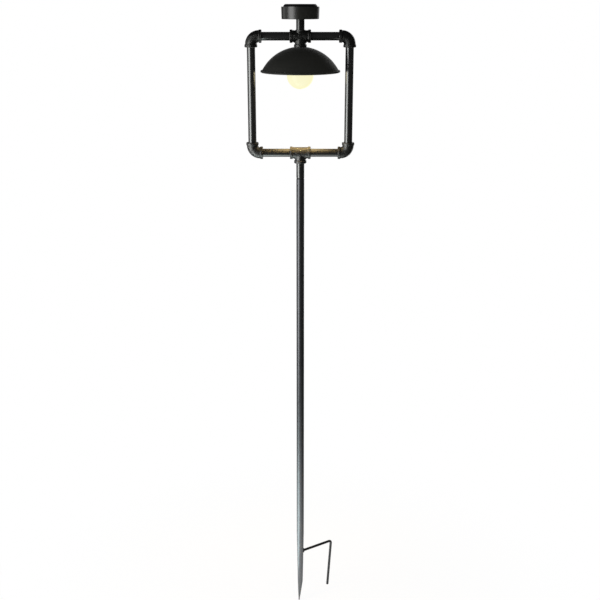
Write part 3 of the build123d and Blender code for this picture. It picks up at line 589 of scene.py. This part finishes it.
def moulding(name, dark, light, gloss, grain_scale, grain_depth, shine):
    """A plastic, or what looks like one, with the fine texture of its mould."""
    plastic = Finish(name)
    grain = plastic.noise(grain_scale)
    clouds = plastic.noise(MOULD_CLOUDS, detail=3.0)
    return plastic.surface({
        "Base Color": plastic.blend(GRAIN_SHARE * grain + (1 - GRAIN_SHARE) * clouds, dark, light),
        "Roughness": gloss + MOULD_DULLING * clouds,
        "Specular IOR Level": shine,
        "Normal": plastic.relief(grain, grain_depth * MICRON),
    })


for *recipe, pieces in MOULDINGS:
    dress(moulding(*recipe), *pieces)

# %% [markdown]
# ### Bright metals
# Brass carries the current, steel holds the lid, nickel touches the cell and aluminium makes the lamp's
# screw base. Bare metal takes its look from its colour and from fine turning lines round the axis.

# %% Bare metal
LINES = 60  # in a metre, before the stretch
LINE_STRETCH = (1.0, 1.0, 60.0)  # close together along the axis
LINE_DULLING = 0.12  # roughness that the lines add
LINE_DEPTH = 0.00001


def bare_metal(name, dark, light, gloss):
    """A turned metal without paint."""
    metal = Finish(name)
    lines = metal.noise(LINES, stretch=LINE_STRETCH)
    return metal.surface({
        "Base Color": metal.blend(lines, dark, light),
        "Metallic": 1.0,
        "Roughness": gloss + LINE_DULLING * lines,
        "Normal": metal.relief(lines, LINE_DEPTH),
    })


dress(bare_metal("brass_parts", tone(0.62, 0.42, 0.16), tone(0.78, 0.56, 0.24), gloss=0.24),
      "lamp_nipple", "holder_screw_shell", "holder_contact")
dress(bare_metal("base_metal", tone(0.62), tone(0.78, 0.78, 0.77), gloss=0.25), "lamp_base")
dress(bare_metal("screw_steel", tone(0.40, 0.40, 0.41), tone(0.55, 0.55, 0.56), gloss=0.28),
      "lid_screws", "board_screws")
dress(bare_metal("contact_nickel", tone(0.60, 0.58, 0.53), tone(0.72, 0.69, 0.63), gloss=0.22),
      "battery_contacts")
dress(bare_metal("tip_solder", tone(0.45, 0.45, 0.46), tone(0.6), gloss=0.4), "lamp_tip_contact")

# %% [markdown]
# ### Solar cells
# Four cells of polycrystalline silicon lie on the panel's board under a clear window. Their crystals
# differ a little in blue. A cell texture gives each crystal its own random colour, and its grey value
# then chooses between two blues, so that only the shade varies and not the hue.

# %% Silicon and its window
CRYSTALS = 420.0  # in a metre
WINDOW_CLOUDS = 60  # in a metre


def silicon(name):
    """Blue crystals under a thin coat."""
    cell = Finish(name)
    crystals = cell.node("TexVoronoi", sockets={"Vector": cell.place, "Scale": CRYSTALS}, output="Color")
    shade = cell.node("RGBToBW", sockets={"Color": crystals})
    return cell.surface({
        "Base Color": cell.blend(shade, tone(0.012, 0.022, 0.085), tone(0.035, 0.06, 0.19)),
        "Roughness": cell.between(shade, 0.22, 0.32),
    })


dress(silicon("solar_silicon"), "solar_cells")

window = Finish("window_clear")
dress(window.surface({
    "Base Color": tone(0.97, 0.98, 0.98),
    "Roughness": window.between(window.noise(WINDOW_CLOUDS, detail=3.0), 0.03, 0.08),
    "IOR": 1.49,
    "Transmission Weight": 1.0,
}), "panel_window")

# %% [markdown]
# ### Lamp
# The lit globe looks pale yellow all over, so its shader glows evenly, and soft clouds keep the glow from
# looking flat. The filaments and the glass stem that carries them are inside. They get finishes of their
# own, so that they look right when the globe is hidden.

# %% Glowing globe
GLOW_PALE = tone(0.93, 0.91, 0.68)
GLOW_DEEP = tone(0.95, 0.90, 0.52)
GLOW_CLOUDS = 40  # in a metre
WIRE_PALE = tone(1.0, 0.78, 0.40)
WIRE_DEEP = tone(1.0, 0.66, 0.25)
WIRE_GRAINS = 900  # in a metre
STEM_CLOUDS = 300  # in a metre

globe = Finish("globe_glass")
dress(globe.surface({
    "Base Color": tone(0.04, 0.04, 0.03),
    "Roughness": 0.2,
    "Emission Color": globe.blend(globe.noise(GLOW_CLOUDS), GLOW_PALE, GLOW_DEEP),
    "Emission Strength": 1.0,
    "Specular IOR Level": 0.1,
}), "lamp_globe")
filament = Finish("filament_glow")
dress(filament.surface({
    "Base Color": tone(0.9, 0.7, 0.3),
    "Roughness": 0.5,
    "Emission Color": filament.blend(filament.noise(WIRE_GRAINS), WIRE_DEEP, WIRE_PALE),
    "Emission Strength": 3.0,
}), "lamp_filaments")
mount = Finish("mount_glass")
dress(mount.surface({
    "Base Color": tone(0.85, 0.87, 0.86),
    "Roughness": mount.between(mount.noise(STEM_CLOUDS), 0.06, 0.16),
    "Transmission Weight": 0.6,
}), "lamp_stem")

# %% [markdown]
# ### Warm light
# The warm light on the frame could come from the glowing globe itself, but a globe that is bright enough
# would be a white spot in the picture. Round lamps just outside it give the light instead: a narrow one
# below it that only soft light sees, and wide faint ones, below it and at its sides, that the metal also
# mirrors. They ride on the lamp's tip, which slides but doesn't turn, so the glow follows when the lamp
# is screwed out.

# %% Round lamps outside the globe
BULB_COLOUR = (1.0, 0.66, 0.25)
BULB_WATTS = 1.6
BULB_SPREAD = 76  # degrees
BULB_RADIUS = 0.028
BULB_CLEAR = 0.001  # gap to the globe
MOUTH_COLOUR = (1.0, 0.78, 0.46)
MOUTH_WATTS = 0.055
MOUTH_RADIUS = 0.06
MOUTH_SPREAD = 180  # degrees
GLOW_WATTS = 0.006
GLOW_RADIUS = 0.02

globe_low, globe_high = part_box("lamp_globe")
globe_radius = (globe_high.x - globe_low.x) / 2
globe_middle = Vector((0, 0, globe_low.z + globe_radius))


def glow_light(name, way, colour, radius, watts, spread, mirrored):
    """A round lamp just outside the globe that shines away from it."""
    place = globe_middle + (globe_radius + BULB_CLEAR) * Vector(way)
    lamp = add_lamp(name, place, way, watts, colour, mirrored)
    lamp.data.shape = "DISK"
    lamp.data.size = 2 * radius
    lamp.data.spread = math.radians(spread)
    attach(lamp, "lamp_tip")


glow_light("bulb_light", (0, 0, -1), BULB_COLOUR, BULB_RADIUS, BULB_WATTS, BULB_SPREAD, False)
glow_light("mouth_light", (0, 0, -1), MOUTH_COLOUR, MOUTH_RADIUS, MOUTH_WATTS, MOUTH_SPREAD, True)
glow_light("left_glow", (-1, 0, 0), MOUTH_COLOUR, GLOW_RADIUS, GLOW_WATTS, MOUTH_SPREAD, True)
glow_light("right_glow", (1, 0, 0), MOUTH_COLOUR, GLOW_RADIUS, GLOW_WATTS, MOUTH_SPREAD, True)
print("four warm lights round", [round(value, 3) for value in globe_middle])

# %% [markdown]
# ## Small pieces
# Four things are too fine for the CAD model but show in a close look: the silver lines on the cells, the
# parting seams of the castings, the ribs on the switch knob and the ripples of the weld at the foot step.
# They are meshes of boxes or balls, placed by the CAD nodes' own boxes.

# %% Helpers for small pieces
def finish_of(name):
    """The finish that a CAD piece wears."""
    return nodes[name].material_slots[0].material


def add_piece(name, shape, material, body):
    """Turns a bmesh into a piece that rides on a body and wears the finish it is given."""
    mesh = bpy.data.meshes.new(name)
    shape.to_mesh(mesh)
    shape.free()
    mesh.materials.append(material)
    piece = bpy.data.objects.new(name, mesh)
    scene.collection.objects.link(piece)
    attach(piece, body)
    print(name, "with", len(mesh.polygons), "faces on", body)


def add_box(shape, middle, size, lean=None):
    """Adds a box to a bmesh, turned by lean if it is given."""
    place = Matrix.LocRotScale(Vector(middle), lean, Vector(size))
    bmesh.ops.create_cube(shape, size=1.0, matrix=place)


def soften(shape, width):
    """Rounds all edges of a bmesh."""
    bmesh.ops.bevel(shape, geom=shape.edges[:], offset=width, segments=2, affect="EDGES")


print("helpers ready")

# %% [markdown]
# ### Silver lines on the cells
# Screen-printed silver gathers the current: thin fingers across each cell and two broader bars along it.
# A texture could draw them; real strips also catch the light and stay sharp in a close view. The cells
# touch the window, and two faces in one plane confuse the renderer, so each cell gets a thin skin too.

# %% Fingers and bus bars
CELL_ROWS = 2
CELL_GAP = 0.0012
FINGER_COUNT = 11
FINGER_WIDTH = 0.00016
BAR_PLACES = (-0.25, 0.25)  # shares of a cell's side, from its middle
BAR_WIDTH = 0.0008
PRINT_THICK = 0.00012
SKIN_THICK = 0.00004

cells_low, cells_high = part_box("solar_cells")
cell_side = (cells_high.x - cells_low.x - (CELL_ROWS - 1) * CELL_GAP) / CELL_ROWS
cell_places = [(row - (CELL_ROWS - 1) / 2) * (cell_side + CELL_GAP) for row in range(CELL_ROWS)]
finger_size = (cell_side - 2 * BAR_WIDTH, FINGER_WIDTH, PRINT_THICK)
bar_size = (BAR_WIDTH, cell_side, PRINT_THICK)
strips = bmesh.new()
skins = bmesh.new()
for cell_x in cell_places:
    for cell_y in cell_places:
        add_box(skins, (cell_x, cell_y, cells_high.z), (cell_side, cell_side, SKIN_THICK))
        for finger in range(FINGER_COUNT):
            y = cell_y + ((finger + 0.5) / FINGER_COUNT - 0.5) * cell_side
            add_box(strips, (cell_x, y, cells_high.z), finger_size)
        for share in BAR_PLACES:
            add_box(strips, (cell_x + share * cell_side, cell_y, cells_high.z), bar_size)
silver = bare_metal("cell_silver", tone(0.66, 0.67, 0.68), tone(0.80, 0.81, 0.82), gloss=0.3)
add_piece("cell_print", strips, silver, "head")
add_piece("cell_skin", skins, finish_of("solar_cells"), "head")

# %% [markdown]
# ### Parting seams
# A sand mould has two halves, and a low ridge stays where they met. On these fittings it lies in the
# frame's plane: round the back of each elbow, in its throat, and along the top of each tee. A row of
# short blocks follows each bend, because every block can then be placed by one angle.

# %% Seams of the castings
BAND_RAISE = 0.0015
BAND_WIDTH = 0.006
ELBOW_BEND = 0.016
SEAM_WIDTH = 0.0009
SEAM_RISE = 0.0003
SEAM_STEPS = 14
SEAM_OVERLAP = 1.1  # a block's length in steps, so that neighbours meet
BOSS_REACH = 0.0125  # the upper tee's boss covers the seam this far from its middle


def seam_arc(seams, middle, radius, side, level):
    """A quarter ring of short blocks, bent towards side (left -1, right 1) and level (down -1, up 1)."""
    length = SEAM_OVERLAP * radius * math.pi / 2 / SEAM_STEPS
    for step in range(SEAM_STEPS):
        turn = (step + 0.5) / SEAM_STEPS * math.pi / 2
        spoke = Vector((side * math.cos(turn), 0, level * math.sin(turn)))
        lean = Matrix.Rotation(math.atan2(-spoke.z, spoke.x), 3, "Y").to_quaternion()
        add_box(seams, middle + radius * spoke, (2 * SEAM_RISE, SEAM_WIDTH, length), lean)


for level, height in ((-1, "lower"), (1, "upper")):
    seams = bmesh.new()
    for side, hand in ((-1, "left"), (1, "right")):
        low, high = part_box(f"{height}_elbow_{hand}")
        band_radius = (high.y - low.y) / 2
        body_radius = band_radius - BAND_RAISE
        corner = Vector((high.x - band_radius if side > 0 else low.x + band_radius, 0,
                         high.z - band_radius if level > 0 else low.z + band_radius))
        middle = corner - Vector((side * ELBOW_BEND, 0, level * ELBOW_BEND))
        seam_arc(seams, middle, ELBOW_BEND + body_radius, side, level)
        seam_arc(seams, middle, ELBOW_BEND - body_radius, side, level)
    low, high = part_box(f"{height}_tee")
    top = low.z + (high.x - low.x) / 2 + body_radius
    reach = (high.x - low.x) / 2 - BAND_WIDTH
    start = BOSS_REACH if level > 0 else 0.0
    for side in (-1, 1):
        add_box(seams, (side * (start + reach) / 2, 0, top), (reach - start, SEAM_WIDTH, 2 * SEAM_RISE))
    soften(seams, SEAM_RISE / 2)
    add_piece(f"{height}_seams", seams, finish_of(f"{height}_tee"), "head")

# %% [markdown]
# ### Knob ribs
# A fingernail moves the slide switch under the cap, so its knob has three small ribs across the travel.
# A bump in the finish would shade them but leave the knob's edge straight, so they are real boxes.

# %% Ribs on the switch knob
KNOB_WIDTH = 0.003
RIB_COUNT = 3
RIB_WIDTH = 0.0005
RIB_RISE = 0.00025

knob_low, knob_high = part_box("switch_knob")
knob_middle = (knob_low + knob_high) / 2
ribs = bmesh.new()
for rib in range(RIB_COUNT):
    x = knob_middle.x + (rib - (RIB_COUNT - 1) / 2) * 2 * RIB_WIDTH
    add_box(ribs, (x, knob_middle.y, knob_low.z), (RIB_WIDTH, KNOB_WIDTH - 2 * RIB_WIDTH, 2 * RIB_RISE))
soften(ribs, RIB_RISE / 2)
add_piece("knob_ribs", ribs, finish_of("switch_knob"), "switch")

# %% [markdown]
# ### Weld ripples
# The foot step's rod is welded to the pole. The bead is laid in short puddles that overlap like scales,
# so a ring of flattened balls follows the saddle where the rod meets the round pole.

# %% Ripples round the foot step's root
PUDDLE_COUNT = 18
PUDDLE_SIZE = (0.0018, 0.0016, 0.0013)  # along the rod, along the ring, out of the ring
RING_OUT = 0.0011  # the ring's radius beyond the rod's
POLE_RADIUS = 0.0076  # where the rod meets the tapered pole

step_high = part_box("foot_step")[1]
rod_radius = step_high.z / 2
step_turn = math.atan2(step_high.y - rod_radius, step_high.x - rod_radius)
outward = Vector((math.cos(step_turn), math.sin(step_turn), 0))
across = Vector((-outward.y, outward.x, 0))
upward = Vector((0, 0, 1))
ripples = bmesh.new()
for puddle in range(PUDDLE_COUNT):
    turn = puddle / PUDDLE_COUNT * math.tau
    spoke = math.cos(turn) * across + math.sin(turn) * upward
    rim = (rod_radius + RING_OUT) * spoke
    depth = math.sqrt(POLE_RADIUS**2 - rim.dot(across) ** 2) + RING_OUT
    axes = Matrix((outward, outward.cross(spoke), spoke)).transposed().to_quaternion()
    place = Matrix.LocRotScale(rod_radius * upward + depth * outward + rim, axes, Vector(PUDDLE_SIZE))
    bmesh.ops.create_icosphere(ripples, subdivisions=2, radius=1.0, matrix=place)
for face in ripples.faces:
    face.smooth = True
add_piece("weld_ripples", ripples, finish_of("foot_step"), "pole")
